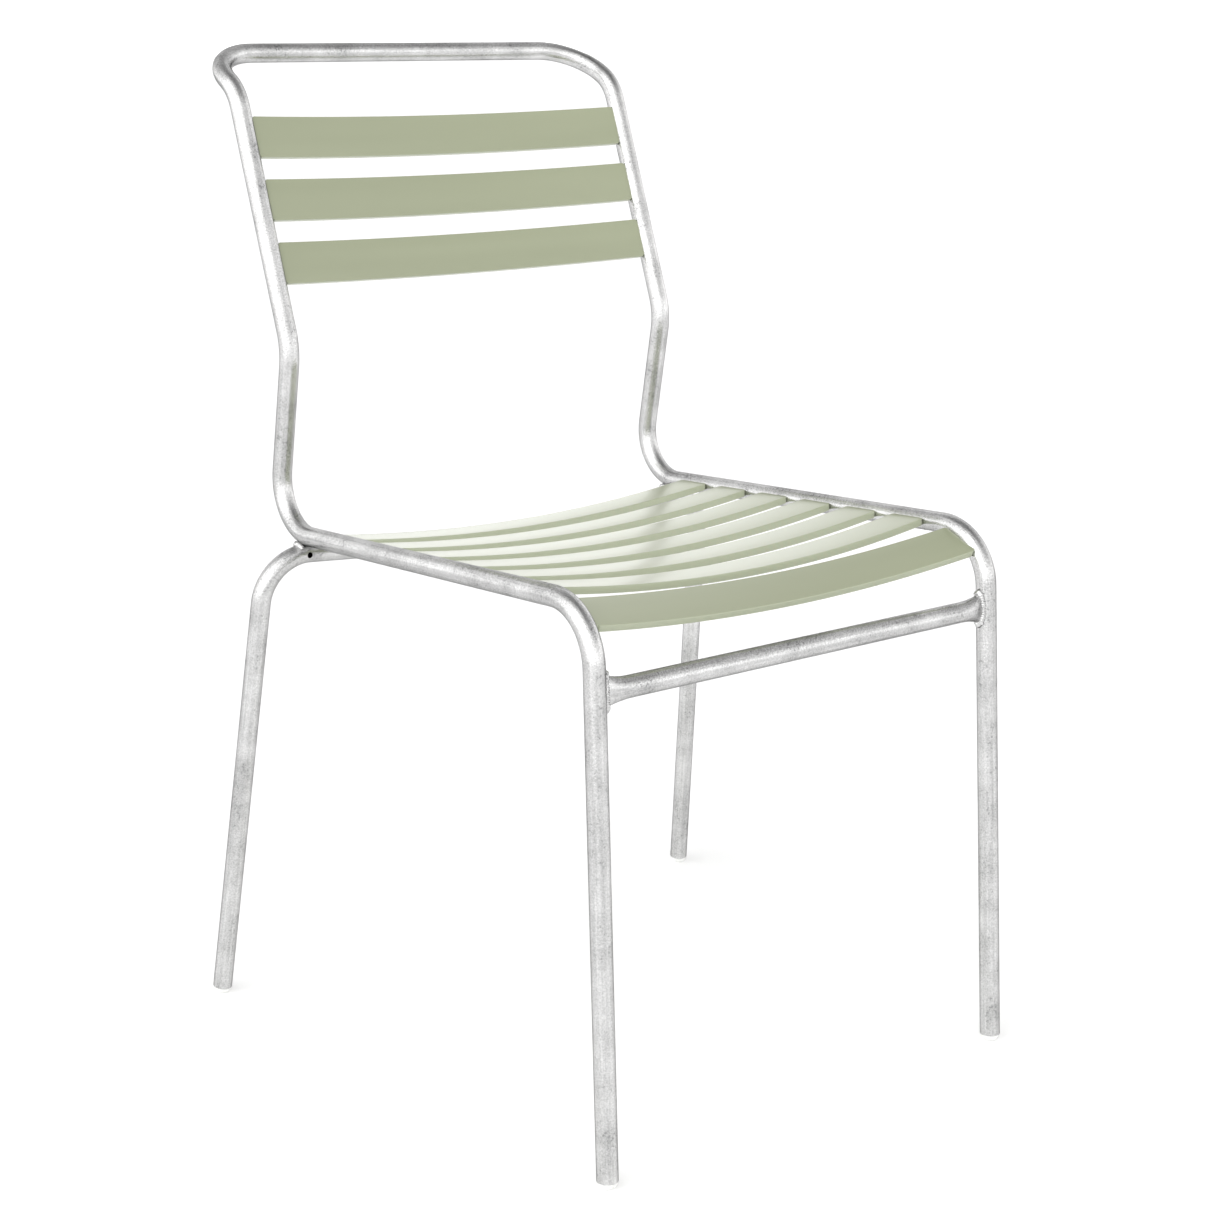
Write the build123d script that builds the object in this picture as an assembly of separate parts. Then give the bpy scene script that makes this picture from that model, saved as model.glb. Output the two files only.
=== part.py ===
from build123d import *
import os
from math import atan2, cos, degrees, radians, sin, sqrt, tan

# Stacking chair: a bent steel tube frame that carries ten flat, flexible slats.
# X runs across the chair, +Y points to its back, +Z up. The origin is on the floor, in the middle of the
# chair's footprint. Left is the -X side. Sizes are in millimetres and degrees.

# ---- tube stock ----
tube_diameter = 17.2
tube_wall = 2.0

# ---- main frame: half widths between tube centrelines, then the side profile ----
foot_half_width = 211.0
seat_half_width = 206.5
knee_height = 451.0            # corner point of the front knee, above the floor
front_leg_lean = 22.4          # the knee's corner stands this far behind the foot
knee_radius = 48.0
seat_depth = 458.0             # knee corner to seat/back corner, along Y
seat_fall = 22.5               # drop of the seat rail towards the back
seat_back_radius = 44.5
lumbar_height = 164.0          # lumbar corner above the seat/back corner
lumbar_reach = 31.5            # and forward of it
lumbar_radius = 62.0
back_lean = 19.8               # the uprights above the lumbar bend, from the vertical
backward_bend = 231.4          # lumbar corner to the corner where the uprights bend backwards
backward_turn = 41.3           # by this
backward_radius = 42.0
top_reach = 65.2               # from that corner to the top rail's corner
top_corner_radius = 47.5

# ---- rear leg loop ----
rear_foot_half_width = 272.3
rear_knee_half_width = 245.0
rear_foot_reach = 62.1         # the rear feet stand this far behind the loop's cross run
rear_knee_radius = 43.5
loop_contact_angle = 12.0      # where round the seat/back bend the cross run lies against it
loop_droop = 4.3               # slope of the cross run, down to its middle
loop_middle_radius = 400.0
weld_gap = 0.1                 # between tubes that are welded together
vent_diameter = 5.2
vent_inset = 0.8               # from the rail's centreline, inwards
vent_dip = 8.0                 # the vent hole looks this far below the horizontal

# ---- front crossbar ----
crossbar_height = 385.0
pressed_height = 25.0          # the flattened ends are tall
pressed_thickness = 7.0        # and thin
pressing_length = 24.0         # from round tube to flattened end
pressing_steps = 4

# ---- slats ----
slat_width = 37.0
slat_thickness = 6.0
slat_edge_radius = 1.2
slat_corner_radius = 2.5       # corners of the shoulders, seen from above
shoulder_clearance = 0.3       # from the shoulder to the tube
tongue_inset = 2.0             # the tongue is narrower than the slat by this on each side
tongue_depth = 8.0             # reach of the tongue past the tube's inner side
slot_clearance = 0.25
seat_slat_count = 7
seat_slat_pitch = 57.0
last_flat_slat = 82.0          # knee corner to the middle of the last flat slat, along the rail
seat_sag_rear = 13.0           # bow of the rearmost seat slat, at its middle
seat_sag_front = 15.5          # bow of the last flat seat slat
front_slat_angle = 33.0        # the front slat lies this far round the knee bend
front_slat_slope = 23.0        # and slopes by this
front_slat_sag = 13.6
back_slat_count = 3
back_slat_pitch = 56.6
first_back_slat = 75.5         # lumbar corner to the middle of the lowest back slat
back_sag = 11.0

# ---- weld beads ----
bead_leg = 2.6                 # fillet weld round the crossbar's ends
bead_rim = 0.4                 # thickness of that weld where it starts on the crossbar
rear_bead_radius = 3.2
rear_bead_offset = 6.6         # from the rail's centreline, sideways
rear_bead_lift = 1.5           # bead centre above the loop's surface
rear_bead_wrap = 48.0          # the bead wraps this far round the loop, to each side

# ---- foot glides ----
glide_height = 6.0             # end of the tube above the floor
glide_head_diameter = 15.4
glide_rim = 1.8                # cylindrical part of the head
glide_crown = 0.6              # how far the dome would reach below the floor: it is worn flat there
glide_plug_depth = 14.0
glide_plug_clearance = 0.1
glide_bore_diameter = 7.0

# ---- values that follow ----
tube_radius = tube_diameter / 2
bore_radius = tube_radius - tube_wall
rail_slope = degrees(atan2(seat_fall, seat_depth))
leg_slope = degrees(atan2(front_leg_lean, knee_height))
lumbar_y = front_leg_lean + seat_depth - lumbar_reach
lumbar_z = knee_height - seat_fall + lumbar_height


top_lean = back_lean + backward_turn
top_y = lumbar_y + backward_bend * sin(radians(back_lean)) + top_reach * sin(radians(top_lean))
middle_y = top_y / 2           # from the front foot to the middle of the footprint


def place(x, y, z):
    """A point of the chair from its distance behind the front foot."""
    return Vector(x, y - middle_y, z)


def place_on_back(x, distance):
    """A point of the back's straight part, this far from the lumbar corner."""
    angle = radians(back_lean)
    return place(x, lumbar_y + distance * sin(angle), lumbar_z + distance * cos(angle))


def flip(point):
    return Vector(-point.X, point.Y, point.Z)


def both_sides(half):
    """A whole run of points or radii from its right half, which ends at the chair's middle."""
    mirrored = [flip(item) if isinstance(item, Vector) else item for item in half]
    return mirrored + half[::-1]


def rod(path, seam, radius=tube_radius):
    """A round bar along a path, its seam on the side that this direction points to at the start."""
    return sweep(Plane(origin=path @ 0, x_dir=seam, z_dir=path % 0) * Circle(radius), path=path)


# ---- main frame ----
def front_leg_point(height):
    """A point of the right front leg's centreline."""
    share = height / knee_height
    half_width = foot_half_width + (seat_half_width - foot_half_width) * share
    return place(half_width, front_leg_lean * share, height)


def rail_point(distance, x=seat_half_width):
    """A point of the seat rail's centreline, this far behind the knee's corner."""
    y = front_leg_lean + distance * cos(radians(rail_slope))
    return place(x, y, knee_height - distance * sin(radians(rail_slope)))


def main_frame_path():
    seat_back = place(seat_half_width, front_leg_lean + seat_depth, knee_height - seat_fall)
    lumbar = place(seat_half_width, lumbar_y, lumbar_z)
    bend = place_on_back(seat_half_width, backward_bend)
    top = bend + Vector(0, sin(radians(top_lean)), cos(radians(top_lean))) * top_reach
    half = [front_leg_point(glide_height), front_leg_point(knee_height), seat_back, lumbar, bend, top]
    bends = [knee_radius, seat_back_radius, lumbar_radius, backward_radius, top_corner_radius]
    return FilletPolyline(*both_sides(half), radius=both_sides(bends))


# ---- rear leg loop ----
def bend_centre(corner, radius, first_slope, second_slope):
    """Centre of a bend in the side view, from the slopes of the runs that leave its corner."""
    half_turn = radians(second_slope - first_slope) / 2
    bisector = radians(first_slope + second_slope) / 2
    reach = radius / sin(half_turn)
    return corner + Vector(0, cos(bisector), sin(bisector)) * reach


lumbar_slope = degrees(atan2(lumbar_height, -lumbar_reach))
seat_back_centre = bend_centre(
    place(0, front_leg_lean + seat_depth, knee_height - seat_fall),
    seat_back_radius,
    lumbar_slope,
    180 - rail_slope,
)
knee_centre = bend_centre(
    place(0, front_leg_lean, knee_height), knee_radius, -90 - leg_slope, -rail_slope
)


def knee_dip(x):
    """How far the loop's bend down to the rear leg has taken it below its cross run."""
    past_start = max(abs(x) - rear_knee_half_width + rear_knee_radius, 0)
    return past_start ** 2 / (2 * rear_knee_radius)


contact_distance = (tube_diameter + weld_gap) / cos(radians(loop_droop)) - knee_dip(seat_half_width)
contact_slope = radians(loop_contact_angle - 90 - rail_slope)
loop_contact = seat_back_centre + Vector(0, cos(contact_slope), sin(contact_slope)) * (
    seat_back_radius + contact_distance
)


def loop_run_point(x):
    """A point of the loop's cross run, which drops towards the chair's middle."""
    rise = (abs(x) - seat_half_width) * tan(radians(loop_droop))
    return Vector(x, loop_contact.Y, loop_contact.Z + rise)


rear_knee = loop_run_point(rear_knee_half_width)
rear_foot = Vector(rear_foot_half_width, rear_knee.Y + rear_foot_reach, 0)


def rear_leg_point(height):
    return rear_foot + (rear_knee - rear_foot) * (height / rear_knee.Z)


def rear_loop_path():
    half = [rear_leg_point(glide_height), rear_knee]
    points = both_sides(half)
    points.insert(len(half), loop_run_point(0))
    return FilletPolyline(*points, radius=[rear_knee_radius, loop_middle_radius, rear_knee_radius])


def vent_holes():
    """Cutters for the vent holes, which go through one wall of the cross run."""
    drills = []
    for side in (-1, 1):
        start = loop_run_point(side * (seat_half_width - vent_inset))
        outwards = Vector(0, -cos(radians(vent_dip)), -sin(radians(vent_dip)))
        drill = Plane(origin=start, z_dir=outwards) * Cylinder(
            vent_diameter / 2, tube_diameter, align=(Align.CENTER, Align.CENTER, Align.MIN)
        )
        drills.append(drill)
    return drills


# ---- front crossbar ----
crossbar_end = front_leg_point(crossbar_height)


def crossbar_section(x, height, thickness):
    """An oval section of the crossbar, its long axis along the front legs."""
    up = Vector(0, sin(radians(leg_slope)), cos(radians(leg_slope)))
    plane = Plane(origin=Vector(x, crossbar_end.Y, crossbar_end.Z), x_dir=up, z_dir=Vector(1, 0, 0))
    return plane * Ellipse(height / 2, thickness / 2)


def crossbar_half(wall):
    """The right half of the crossbar's outside, drawn in by a wall."""
    flat_start = crossbar_end.X - tube_radius
    round_end = flat_start - pressing_length
    straight = extrude(
        crossbar_section(0, tube_diameter - 2 * wall, tube_diameter - 2 * wall), amount=round_end
    )
    ovals = []
    for index in range(pressing_steps + 1):
        share = index / pressing_steps
        eased = share * share
        height = tube_diameter + (pressed_height - tube_diameter) * eased - 2 * wall
        thickness = tube_diameter + (pressed_thickness - tube_diameter) * eased - 2 * wall
        ovals.append(crossbar_section(round_end + pressing_length * share, height, thickness))
    end = crossbar_section(flat_start, pressed_height - 2 * wall, pressed_thickness - 2 * wall)
    return straight + loft(ovals) + extrude(end, amount=tube_radius)


def whole_crossbar(wall):
    half = crossbar_half(wall)
    return half + mirror(half, about=Plane.YZ)


def crossbar_weld():
    """The fillet weld round the right end of the crossbar, before the tubes are cut out of it."""
    root = crossbar_end.X - tube_radius - bead_leg
    toe = crossbar_end.X - tube_radius / 2
    spread = 2 * (toe - root)
    return loft([
        crossbar_section(root, pressed_height + 2 * bead_rim, pressed_thickness + 2 * bead_rim),
        crossbar_section(toe, pressed_height + spread, pressed_thickness + spread),
    ])


def rear_welds():
    """The two beads at the right crossing, one on each side of the rail."""
    beads = []
    for side in (-1, 1):
        x = seat_half_width + side * rear_bead_offset
        middle = loop_run_point(x) - Vector(0, 0, knee_dip(x))
        reach = tube_radius + rear_bead_lift
        circle = Plane(origin=middle, x_dir=(0, 1, 0), z_dir=(1, 0, 0))
        path = circle * CenterArc((0, 0), reach, 90 - rear_bead_wrap, 2 * rear_bead_wrap)
        beads.append(rod(path, (1, 0, 0), rear_bead_radius))
    return beads


# ---- slats ----
def slat_bar(half_length, width, thickness, sag):
    """A flat bar bent to a shallow arc, which passes through the tubes' inner sides at z = 0."""
    half_span = seat_half_width - tube_radius
    radius = (half_span ** 2 + sag ** 2) / (2 * sag)
    band = Circle(radius + thickness / 2) - Circle(radius - thickness / 2)
    window = Pos(0, -sag / 2) * Rectangle(2 * half_length, 4 * (sag + thickness))
    return extrude(Plane.XZ * (Pos(0, radius - sag) * band & window), amount=width / 2, both=True)


def slat(sag):
    """One slat about its own middle: +Y across its width, +Z out of its show face."""
    shoulder = seat_half_width - tube_radius - shoulder_clearance
    bar = slat_bar(shoulder, slat_width, slat_thickness, sag)
    bar = fillet(bar.edges().filter_by(Axis.Z), slat_corner_radius)
    faces = bar.faces().sort_by(SortBy.AREA)[-2:]
    bar = fillet(faces[0].edges() + faces[1].edges(), slat_edge_radius)
    tongue = slat_bar(
        seat_half_width - tube_radius + tongue_depth, slat_width - 2 * tongue_inset, slat_thickness, sag
    )
    return bar + tongue


def slat_slot(sag):
    """Cutter for both slots of one slat."""
    return slat_bar(
        seat_half_width - tube_radius + tongue_depth + slot_clearance,
        slat_width - 2 * tongue_inset + 2 * slot_clearance,
        slat_thickness + 2 * slot_clearance,
        sag,
    )


def slat_plane(middle, slope):
    """The place of a slat, whose width rises towards +Y at this slope."""
    return Plane(origin=middle, x_dir=(1, 0, 0), z_dir=(0, -sin(radians(slope)), cos(radians(slope))))


def seat_slat_places():
    """Place and sag of each seat slat, from the rearmost to the front one."""
    places = []
    for index in range(seat_slat_count - 1):
        distance = last_flat_slat + (seat_slat_count - 2 - index) * seat_slat_pitch
        sag = seat_sag_rear + (seat_sag_front - seat_sag_rear) * index / (seat_slat_count - 2)
        places.append((slat_plane(rail_point(distance, x=0), -rail_slope), sag))
    chord_inset = sqrt(knee_radius ** 2 - (slat_width / 2) ** 2)
    outwards = Vector(0, -sin(radians(front_slat_angle)), cos(radians(front_slat_angle)))
    middle = knee_centre + outwards * chord_inset
    places.append((slat_plane(middle, front_slat_slope), front_slat_sag))
    return places


def back_slat_places():
    """Place and sag of each back slat, from the lowest up."""
    places = []
    for index in range(back_slat_count):
        distance = first_back_slat + index * back_slat_pitch
        places.append((slat_plane(place_on_back(0, distance), 90 - back_lean), back_sag))
    return places


# ---- foot glides ----
def foot_glide(end, knee):
    """A domed plastic glide: its plug fills the tube's open end, its crown is flat on the floor."""
    head = glide_head_diameter / 2
    dome = glide_height - glide_rim + glide_crown
    profile = make_face([
        Line((0, glide_plug_depth), (bore_radius - glide_plug_clearance, glide_plug_depth)),
        Line(
            (bore_radius - glide_plug_clearance, glide_plug_depth),
            (bore_radius - glide_plug_clearance, 0),
        ),
        Line((bore_radius - glide_plug_clearance, 0), (head, 0)),
        Line((head, 0), (head, -glide_rim)),
        EllipticalCenterArc((0, -glide_rim), head, dome, start_angle=-90, arc_size=90),
        Line((0, -glide_rim - dome), (0, glide_plug_depth)),
    ])
    glide = revolve(Plane.XZ * profile, Axis.Z)
    glide -= Pos(0, 0, glide_plug_depth) * Cylinder(
        glide_bore_diameter / 2, glide_plug_depth, align=(Align.CENTER, Align.CENTER, Align.MAX)
    )
    floor_cutter = Pos(end.X, end.Y, 0) * Box(
        tube_diameter * 3, tube_diameter * 3, tube_diameter, align=(Align.CENTER, Align.CENTER, Align.MAX)
    )
    return Plane(origin=end, z_dir=knee - end) * glide - floor_cutter


# ---- assembly ----
outwards_and_back = Vector(-1, 1, 0)
back = Vector(0, 1, 0)
frame_path = main_frame_path()
loop_path = rear_loop_path()
frame_rod = rod(frame_path, outwards_and_back)
loop_rod = rod(loop_path, back)
crossbar_rod = whole_crossbar(0)

main_frame = frame_rod - rod(frame_path, outwards_and_back, bore_radius)
rear_loop = loop_rod - rod(loop_path, back, bore_radius) - vent_holes()

nodes = {}
slat_rows = [("seat_slat", seat_slat_places()), ("back_slat", back_slat_places())]
for name, places in slat_rows:
    for index, (plane, sag) in enumerate(places):
        nodes[f"{name}_{index + 1}"] = plane * slat(sag)
        main_frame -= plane * slat_slot(sag)

nodes["main_frame_tube"] = main_frame
nodes["rear_leg_loop"] = rear_loop
nodes["front_crossbar"] = whole_crossbar(0) - whole_crossbar(tube_wall) - frame_rod

weld_right = crossbar_weld() - crossbar_rod - frame_rod
rear_weld_right = Compound([(bead - frame_rod - loop_rod).solid() for bead in rear_welds()])
nodes["crossbar_weld_right"] = weld_right
nodes["crossbar_weld_left"] = mirror(weld_right, about=Plane.YZ)
nodes["rear_weld_right"] = rear_weld_right
nodes["rear_weld_left"] = mirror(rear_weld_right, about=Plane.YZ)

for row, leg_point in (("front", front_leg_point), ("rear", rear_leg_point)):
    glide_right = foot_glide(leg_point(glide_height), leg_point(glide_height + tube_diameter))
    nodes[f"foot_glide_{row}_right"] = glide_right
    nodes[f"foot_glide_{row}_left"] = mirror(glide_right, about=Plane.YZ)

os.makedirs("parts", exist_ok=True)
for name, solid in nodes.items():
    export_step(solid, f"parts/{name}.step")
    print(name, round(solid.volume), len(solid.solids()))
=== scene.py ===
from math import atan2, cos, pi, radians, sin, sqrt, tan

import bmesh
import bpy
from mathutils import Matrix, Vector


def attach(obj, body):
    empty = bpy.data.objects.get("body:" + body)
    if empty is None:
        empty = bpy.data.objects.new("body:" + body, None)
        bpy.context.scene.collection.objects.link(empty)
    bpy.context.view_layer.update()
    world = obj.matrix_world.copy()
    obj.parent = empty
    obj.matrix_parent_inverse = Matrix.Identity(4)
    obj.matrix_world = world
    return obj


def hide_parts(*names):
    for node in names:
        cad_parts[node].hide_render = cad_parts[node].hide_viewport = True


# Outdoor stacking chair: bent galvanised tube that carries ten flexible sage green slats.
# Settings are in millimetres and degrees. Left is the -X side and the back is at +Y.

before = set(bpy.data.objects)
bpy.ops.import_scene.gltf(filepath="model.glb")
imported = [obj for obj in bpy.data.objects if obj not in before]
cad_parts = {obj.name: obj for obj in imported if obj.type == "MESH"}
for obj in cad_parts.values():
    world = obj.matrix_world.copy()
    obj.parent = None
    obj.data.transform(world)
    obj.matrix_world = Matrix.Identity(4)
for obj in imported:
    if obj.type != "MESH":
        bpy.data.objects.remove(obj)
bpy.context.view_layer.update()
scene = bpy.context.scene
mm = 0.001
samePlace = 1e-7                   # in metres: points nearer than this are one point
print("frame loaded,", len(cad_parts), "solids")


# the chair's plan, which the tubes, slats and welds share

chairSizes = {
    "tubeDiameter": 17.2,
    "footHalfWidth": 211.0,        # from the chair's middle to the front foot's centreline
    "seatHalfWidth": 206.5,        # and to the seat rail's
    "footHeight": 6.0,             # the tubes end this far above the floor
    "kneeHeight": 451.0,           # corner between the front leg and the seat rail
    "kneeRadius": 48.0,
    "legLean": 22.4,               # the knee stands this far behind the front foot
    "seatDepth": 458.0,            # and this far before the seat's back corner
    "seatFall": 22.5,
    "seatBackRadius": 44.5,
    "lumbarHeight": 164.0,         # the lumbar corner is this far above the seat's back corner
    "lumbarReach": 31.5,           # and forward of it
    "backLean": 19.8,
    "backLength": 231.4,           # lumbar corner to the corner where the uprights bend backwards
    "backwardTurn": 41.3,
    "topReach": 65.2,              # from that corner to the top rail's
}
tubeDiameter = chairSizes["tubeDiameter"]
seatHalfWidth = chairSizes["seatHalfWidth"]
legSlope = atan2(chairSizes["legLean"], chairSizes["kneeHeight"])
railSlope = atan2(chairSizes["seatFall"], chairSizes["seatDepth"])
backLean = radians(chairSizes["backLean"])
topLean = backLean + radians(chairSizes["backwardTurn"])
topReachBack = chairSizes["backLength"] * sin(backLean) + chairSizes["topReach"] * sin(topLean)
footToTop = chairSizes["legLean"] + chairSizes["seatDepth"] - chairSizes["lumbarReach"] + topReachBack
frontFootY = -footToTop / 2        # the origin is halfway from the front feet to the top rail

# corners in the side view: y and z
knee = (frontFootY + chairSizes["legLean"], chairSizes["kneeHeight"])
seatBack = (knee[0] + chairSizes["seatDepth"], knee[1] - chairSizes["seatFall"])
lumbar = (seatBack[0] - chairSizes["lumbarReach"], seatBack[1] + chairSizes["lumbarHeight"])


def sidePoint(start, distance, angle):
    # y and z of the point this far from the start, at this angle above the way to the back
    return start[0] + distance * cos(angle), start[1] + distance * sin(angle)


def railPoint(distance):
    # on the seat rail's centreline, this far behind the knee
    return sidePoint(knee, distance, -railSlope)


def backPoint(distance):
    # on the upright's centreline, this far above the lumbar corner
    return sidePoint(lumbar, distance, pi / 2 - backLean)


def bendCentre(corner, radius, oneWay, otherWay):
    # the centre of a bend that rounds a corner, from the directions of the two runs that leave it
    return sidePoint(corner, radius / sin((otherWay - oneWay) / 2), (oneWay + otherWay) / 2)


def legPoint(height):
    # x, y and z on the right front leg's centreline
    share = height / chairSizes["kneeHeight"]
    x = chairSizes["footHalfWidth"] + (seatHalfWidth - chairSizes["footHalfWidth"]) * share
    return x, frontFootY + chairSizes["legLean"] * share, height


def addNode(tree, kind, inputs=None, **settings):
    node = tree.nodes.new(kind)
    for field, value in settings.items():
        setattr(node, field, value)
    for socket, value in (inputs or {}).items():
        if isinstance(value, bpy.types.NodeSocket):
            tree.links.new(value, node.inputs[socket])
        else:
            node.inputs[socket].default_value = value
    return node


def maths(tree, operation, *values):
    return addNode(tree, "ShaderNodeMath", dict(enumerate(values)), operation=operation).outputs[0]


def half(tree, value):
    return maths(tree, "MULTIPLY", value, 0.5)


def squared(tree, value):
    return maths(tree, "MULTIPLY", value, value)


def mapRange(tree, value, fromRange, toLow, toHigh, curve="LINEAR"):
    # the node's inputs are the value, from min, from max, to min and to max
    numbers = dict(enumerate((value, *fromRange, toLow, toHigh)))
    return addNode(tree, "ShaderNodeMapRange", numbers, interpolation_type=curve).outputs[0]


def joinVector(tree, x=0.0, y=0.0, z=0.0):
    return addNode(tree, "ShaderNodeCombineXYZ", {0: x, 1: y, 2: z}).outputs[0]


def splitVector(tree, value):
    return list(addNode(tree, "ShaderNodeSeparateXYZ", {0: value}).outputs)


def noise(tree, place, scale, detail, roughness):
    inputs = {"Vector": place, "Scale": scale, "Detail": detail, "Roughness": roughness}
    return addNode(tree, "ShaderNodeTexNoise", inputs).outputs["Fac"]


def colourRamp(tree, factor, stops):
    node = addNode(tree, "ShaderNodeValToRGB", {"Fac": factor})
    elements = node.color_ramp.elements
    while len(elements) < len(stops):
        elements.new(0.5)
    for element, (position, colour) in zip(elements, stops):
        element.position = position
        element.color = (*colour, 1.0)
    return node.outputs["Color"]


def newMaterial(name):
    material = bpy.data.materials.new(name)
    material.use_nodes = True
    tree = material.node_tree
    return material, tree, tree.nodes["Principled BSDF"]


def setNumbers(shader, numbers):
    for label, value in numbers.items():
        shader.inputs[label].default_value = value


def grey(value):
    return value, value, value, 1.0


def addBump(tree, shader, height, strength, distance):
    bump = addNode(tree, "ShaderNodeBump", {
        "Height": height, "Strength": strength, "Distance": distance * mm,
    })
    tree.links.new(bump.outputs[0], shader.inputs["Normal"])


# materials; each noise is given as its scale, detail and roughness

zincSettings = {
    "darkZinc": (0.336, 0.336, 0.336),
    "midZinc": (0.57, 0.568, 0.566),
    "brightZinc": (0.804, 0.802, 0.8),
    "speckle": (700.0, 3.0, 0.7),
    "streak": (300.0, 3.0, 0.6),
    "streakStretch": 0.03,         # the streaks are this much slower along the tube
    "cloud": (36.0, 4.0, 0.6),
    "shares": (0.6, 0.45, 0.5),    # of speckle, streak and cloud in the tone
    "toneRange": (0.52, 0.98),     # sums that give the darkest and the brightest zinc
    "pits": (380.0, 2.0, 0.6),
    "pitShelter": 0.55,            # how well a bright cloud keeps the pits away
    "pitRange": (0.36, 0.5),
    "pitDepth": 0.6,               # how far the darkest pits fall below the zinc's tone
    "wearRange": (0.7, 1.3),       # from the roughest to the smoothest zinc
    "roughest": 0.24,
    "smoothest": 0.1,
    "bumpStreak": 0.8,             # the streaks' part in the bump, against the speckle's
    "bumpStrength": 0.8,
    "bumpHeight": 0.26,
    "ventPaintedShade": 0.06,             # painted shade: what is left of the tone inside a vent hole, darkened as if in the hole's shadow
    "grazing": 0.35,               # what is left of the shine where the surface is seen edge on
}


def zincMaterial(name, onTube, settings):
    # hot-dip galvanised steel; on a tube its streaks follow the tube's own run
    material, tree, shader = newMaterial(name)
    if onTube:
        along = addNode(tree, "ShaderNodeAttribute", attribute_name="alongTube").outputs["Fac"]
        across = addNode(tree, "ShaderNodeAttribute", attribute_name="acrossTube").outputs["Vector"]
        place = joinVector(tree, *splitVector(tree, across)[:2], along)
    else:
        place = addNode(tree, "ShaderNodeTexCoord").outputs["Object"]
    stretched = addNode(tree, "ShaderNodeVectorMath", {
        0: place, 1: (1.0, 1.0, settings["streakStretch"]),
    }, operation="MULTIPLY").outputs[0]
    speckle = noise(tree, place, *settings["speckle"])
    streak = noise(tree, stretched, *settings["streak"])
    cloud = noise(tree, place, *settings["cloud"])
    pits = noise(tree, place, *settings["pits"])

    speckleShare, streakShare, cloudShare = settings["shares"]
    tone = maths(tree, "MULTIPLY", streak, streakShare)
    tone = maths(tree, "MULTIPLY_ADD", speckle, speckleShare, tone)
    tone = maths(tree, "MULTIPLY_ADD", cloud, cloudShare, tone)
    # pits come where the zinc is thin: in the darker clouds
    pitted = maths(tree, "SUBTRACT", pits, maths(tree, "MULTIPLY", cloud, settings["pitShelter"]))
    pitTone = mapRange(tree, pitted, settings["pitRange"], 0.0, settings["pitDepth"])
    tone = maths(tree, "SUBTRACT", mapRange(tree, tone, settings["toneRange"], 0.0, 1.0), pitTone)
    colour = colourRamp(tree, tone, [
        (0.0, settings["darkZinc"]), (0.5, settings["midZinc"]), (1.0, settings["brightZinc"]),
    ])
    # painted shade: faces inside a vent hole are darkened in the base colour, standing in for the shadow in
    # the hole
    inVent = addNode(tree, "ShaderNodeAttribute", attribute_name="inVent").outputs["Fac"]
    paintedHoleShade = mapRange(tree, inVent, (0.0, 1.0), 1.0, settings["ventPaintedShade"])
    shaded = addNode(tree, "ShaderNodeVectorMath", {0: colour, 3: paintedHoleShade}, operation="SCALE").outputs[0]
    tree.links.new(shaded, shader.inputs["Base Color"])

    wear = maths(tree, "ADD", cloud, speckle)
    dull = mapRange(tree, wear, settings["wearRange"], settings["roughest"], settings["smoothest"])
    tree.links.new(dull, shader.inputs["Roughness"])
    setNumbers(shader, {"Metallic": 1.0, "Specular Tint": grey(settings["grazing"])})
    relief = maths(tree, "ADD", speckle, maths(tree, "MULTIPLY", streak, settings["bumpStreak"]))
    addBump(tree, shader, relief, settings["bumpStrength"], settings["bumpHeight"])
    return material


slatSettings = {
    "sage": (0.284, 0.306, 0.2),
    "paleSage": (0.304, 0.326, 0.216),
    # painted light: the rounded edges' paler colour stands in for their highlight and lifts the shade between
    # slats
    "edgeSagePaintedLight": (0.39, 0.42, 0.3),
    "lengthwise": (0.06, 1.0, 1.0),  # the patterns are this much slower along the slat
    "band": (40.0, 1.0, 0.4),
    "fleck": (900.0, 1.0, 0.5),
    "shares": (0.97, 0.04),        # of band and fleck in the tone
    "toneRange": (0.3, 0.75),
    "glossRange": (0.2, 0.8),
    "smoothest": 0.29,
    "roughest": 0.35,
    "coat": 0.45,
    "coatRoughness": 0.24,
    "refraction": 1.52,
    "wave": (14.0, 1.0, 0.4),
    "waveStrength": 0.3,
    "waveHeight": 0.12,
}


def slatMaterial(settings):
    # glossy moulded strip: long faint bands of colour and gloss, soft waves, and paler edges that are painted
    # light on the rounded edges, lifting the shade between the slats
    material, tree, shader = newMaterial("slatPlastic")
    place = addNode(tree, "ShaderNodeTexCoord").outputs["Object"]
    lengthwise = addNode(
        tree, "ShaderNodeVectorMath", {0: place, 1: settings["lengthwise"]}, operation="MULTIPLY"
    ).outputs[0]
    band = noise(tree, lengthwise, *settings["band"])
    fleck = noise(tree, place, *settings["fleck"])
    bandShare, fleckShare = settings["shares"]
    tone = maths(tree, "MULTIPLY_ADD", fleck, fleckShare, maths(tree, "MULTIPLY", band, bandShare))
    colour = colourRamp(tree, mapRange(tree, tone, settings["toneRange"], 0.0, 1.0), [
        (0.0, settings["sage"]), (1.0, settings["paleSage"]),
    ])
    # painted light: the rounded long edges are mixed to a paler colour in place of their highlight, lifting
    # the shade between slats
    onEdge = addNode(tree, "ShaderNodeAttribute", attribute_name="onEdge").outputs["Fac"]
    # inputs 6 and 7 are the mix node's two colours, and output 2 is its result
    edged = addNode(tree, "ShaderNodeMix", {
        "Factor": onEdge, 6: colour, 7: (*settings["edgeSagePaintedLight"], 1.0),
    }, data_type="RGBA").outputs[2]
    tree.links.new(edged, shader.inputs["Base Color"])
    dull = mapRange(tree, band, settings["glossRange"], settings["smoothest"], settings["roughest"])
    tree.links.new(dull, shader.inputs["Roughness"])
    setNumbers(shader, {
        "Coat Weight": settings["coat"],
        "Coat Roughness": settings["coatRoughness"],
        "IOR": settings["refraction"],
    })
    wave = noise(tree, lengthwise, *settings["wave"])
    addBump(tree, shader, wave, settings["waveStrength"], settings["waveHeight"])
    return material


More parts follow.
